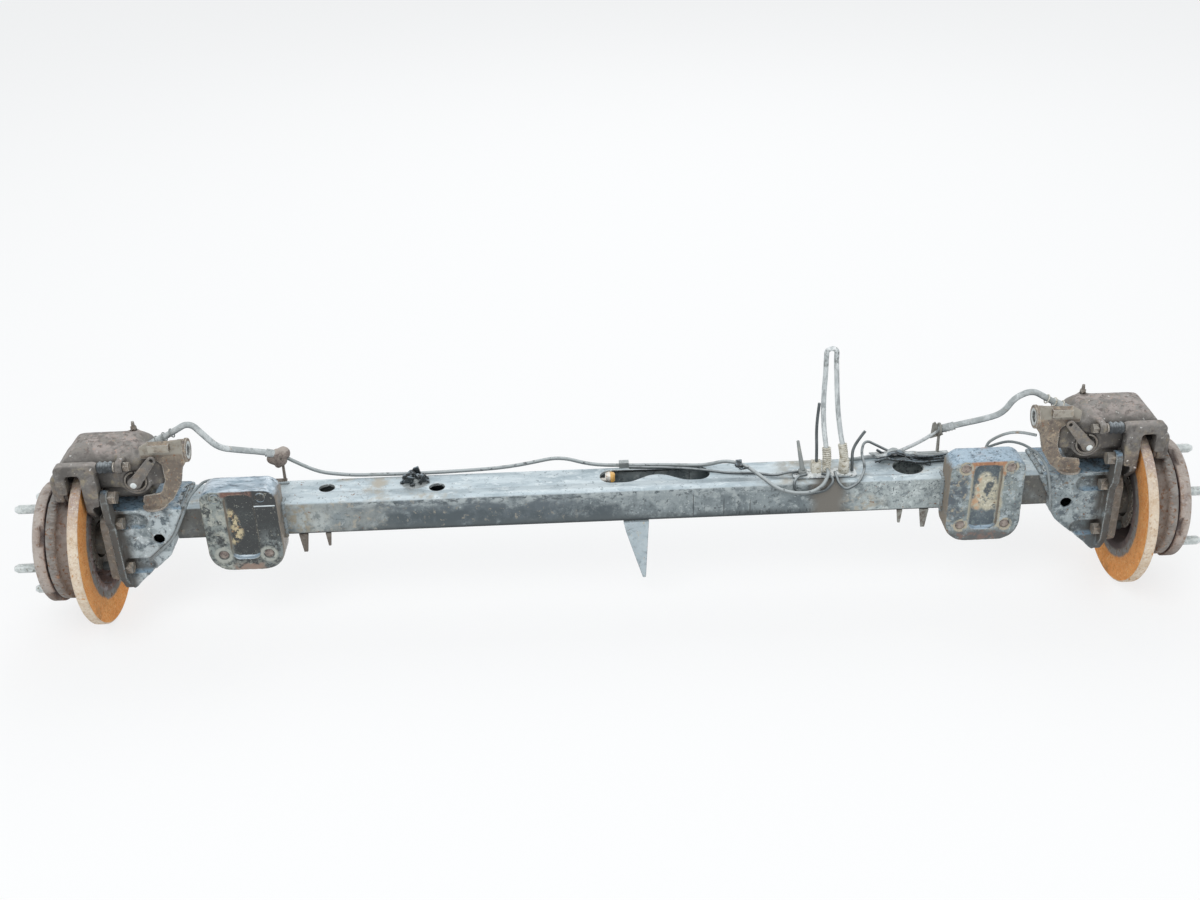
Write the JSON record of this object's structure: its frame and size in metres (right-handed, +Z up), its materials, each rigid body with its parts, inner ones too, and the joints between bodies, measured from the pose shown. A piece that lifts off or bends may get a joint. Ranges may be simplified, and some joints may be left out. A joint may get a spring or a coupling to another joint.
{
  "type": "rear axle beam",
  "caption": "Dead rear axle beam of a van with spring seats, knuckles, hubs, brake discs, sliding calipers and cut-off lines.",
  "frame": {"origin": "on the floor under the middle of the beam, half a disc diameter below the hub axis", "axes": "+X along the axle towards the picture's right, +Y away from the spring seats, +Z up; the beam is shown turned a quarter turn about its own length"},
  "size_m": [1.9173, 0.2801, 0.436],
  "materials": {
    "beam_paint": "worn",
    "seat_paint_right": "worn",
    "seat_paint_left": "gloss",
    "knuckle_paint": "worn",
    "bracket_paint": "worn",
    "plain_steel": "dull",
    "coated_pipe": "dull",
    "fittings": "dull",
    "zinc_steel": "satin",
    "cast_iron": "rough",
    "bracket_steel": "rough",
    "hub_iron": "rough",
    "disc_iron": "rusty",
    "rubber": "dusty",
    "lining": "rough",
    "black_plastic": "matte"
  },
  "bodies": {
    "beam": {"beam_tube": "beam_paint", "gusset_bracket": "bracket_paint", "beam_tabs": "beam_paint", "line_bracket": "bracket_paint", "line_fittings": "fittings", "hairpin_hose": "rubber", "cable_stub_dark": "black_plastic", "cable_stub_bare": "black_plastic", "brake_pipes": "coated_pipe", "sensor_harness": "black_plastic", "clips_and_plugs": "black_plastic", "flange_bolts": "plain_steel", "carrier_bolts": "plain_steel", "hub_nuts": "plain_steel", "spring_seat_right": "seat_paint_right", "knuckle_right": "knuckle_paint", "stub_axle_right": "plain_steel", "bearing_inner_ring_right": "plain_steel", "speed_sensor_right": "black_plastic", "caliper_carrier_right": "cast_iron", "hose_post_right": "bracket_paint", "brake_hose_right": "rubber", "spring_seat_left": "seat_paint_left", "knuckle_left": "knuckle_paint", "stub_axle_left": "plain_steel", "bearing_inner_ring_left": "plain_steel", "speed_sensor_left": "black_plastic", "caliper_carrier_left": "cast_iron", "hose_post_left": "bracket_paint", "brake_hose_left": "rubber"},
    "hub_right": {"wheel_hub_right": "hub_iron", "bearing_outer_ring_right": "plain_steel", "wheel_studs_right": "zinc_steel", "brake_disc_right": "disc_iron", "grease_cap_right": "plain_steel"},
    "caliper_right": {"caliper_housing_right": "cast_iron", "guide_pins_right": "plain_steel", "guide_boots_right": "rubber", "outer_pad_right": "lining", "bleed_screw_right": "plain_steel", "cable_bracket_right": "bracket_steel", "return_spring_right": "plain_steel"},
    "piston_right": {"piston_right": "plain_steel", "inner_pad_right": "lining"},
    "lever_right": {"hand_brake_lever_right": "cast_iron"},
    "hub_left": {"wheel_hub_left": "hub_iron", "bearing_outer_ring_left": "plain_steel", "wheel_studs_left": "zinc_steel", "brake_disc_left": "disc_iron", "grease_cap_left": "plain_steel"},
    "caliper_left": {"caliper_housing_left": "cast_iron", "guide_pins_left": "plain_steel", "guide_boots_left": "rubber", "outer_pad_left": "lining", "bleed_screw_left": "plain_steel", "cable_bracket_left": "bracket_steel", "return_spring_left": "plain_steel"},
    "piston_left": {"piston_left": "plain_steel", "inner_pad_left": "lining"},
    "lever_left": {"hand_brake_lever_left": "cast_iron"}
  },
  "joints": [
    {"name": "hub_spin_right", "type": "hinge", "parent": "beam", "child": "hub_right", "pos_m": [0.87499, -0.00166, 0.14], "axis": [1, -0.0087, 0], "continuous": true},
    {"name": "caliper_float_right", "type": "slide", "parent": "beam", "child": "caliper_right", "axis": [-1, 0.0087, 0], "range_m": [0, 0.0007], "deforming": ["guide_boots_right", "brake_hose_right"]},
    {"name": "piston_travel_right", "type": "slide", "parent": "caliper_right", "child": "piston_right", "axis": [1, -0.0087, 0], "range_m": [0, 0.0014]},
    {"name": "brake_lever_right", "type": "hinge", "parent": "caliper_right", "child": "lever_right", "pos_m": [0.75052, -0.05557, 0.273], "axis": [-0.0087, -1, 0], "range_deg": [0, 25], "stiffness_Nm_per_rad": 3, "springref_deg": -17.19, "deforming": ["return_spring_right"]},
    {"name": "hub_spin_left", "type": "hinge", "parent": "beam", "child": "hub_left", "pos_m": [-0.87499, -0.00166, 0.14], "axis": [-1, -0.0087, 0], "continuous": true},
    {"name": "caliper_float_left", "type": "slide", "parent": "beam", "child": "caliper_left", "axis": [1, 0.0087, 0], "range_m": [0, 0.0007], "deforming": ["guide_boots_left", "brake_hose_left"]},
    {"name": "piston_travel_left", "type": "slide", "parent": "caliper_left", "child": "piston_left", "axis": [-1, -0.0087, 0], "range_m": [0, 0.0014]},
    {"name": "brake_lever_left", "type": "hinge", "parent": "caliper_left", "child": "lever_left", "pos_m": [-0.75052, -0.05557, 0.273], "axis": [-0.0087, 1, 0], "range_deg": [0, 25], "stiffness_Nm_per_rad": 3, "springref_deg": -17.19, "deforming": ["return_spring_left"]}
  ],
  "couplings": [
    {"joint": "piston_travel_right", "follows": "caliper_float_right", "ratio": 2},
    {"joint": "piston_travel_left", "follows": "caliper_float_left", "ratio": 2}
  ]
}
